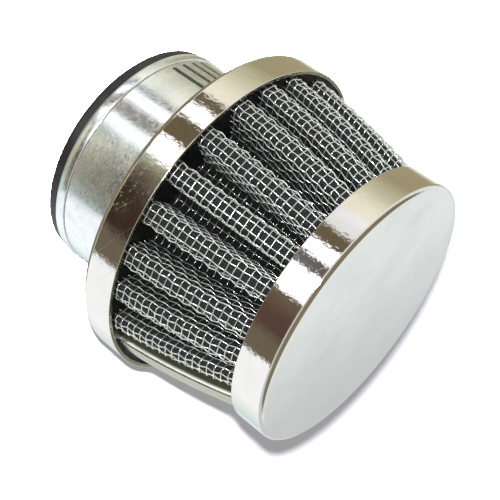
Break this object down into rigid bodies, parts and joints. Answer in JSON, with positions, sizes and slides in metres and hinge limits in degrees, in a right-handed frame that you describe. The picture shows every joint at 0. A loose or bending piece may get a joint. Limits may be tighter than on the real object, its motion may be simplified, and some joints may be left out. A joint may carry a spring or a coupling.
{
  "type": "performance air filter",
  "caption": "Conical clamp-on air filter: folded wire screen over black gauze between two chrome caps, with a plated neck and a rubber liner.",
  "frame": {"origin": "centre of the neck's mouth, in the plane of the rubber lip's face that the part stands on", "axes": "+Z along the filter's axis, from the neck's mouth to the closed end cap; -Y is the front, the side that the picture faces"},
  "size_m": [0.071, 0.071, 0.0635],
  "materials": {
    "cap_chrome": "mirror chrome plating",
    "sleeve_plating": "bright zinc plating with fine spangle",
    "neck_rubber": "moulded black rubber, semi-matt",
    "screen_wire": "bright drawn wire",
    "media_gauze": "black woven gauze",
    "clip_steel": "polished strip",
    "potting_black": "cast black compound"
  },
  "bodies": {
    "root": {"end_cap": "cap_chrome", "base_cap": "cap_chrome", "neck_sleeve": "sleeve_plating", "neck_rubber": "neck_rubber", "outer_screen": "screen_wire", "filter_media": "media_gauze", "inner_screen": "screen_wire", "seam_clip": "clip_steel", "base_potting": "potting_black", "end_potting": "potting_black"}
  },
  "joints": []
}
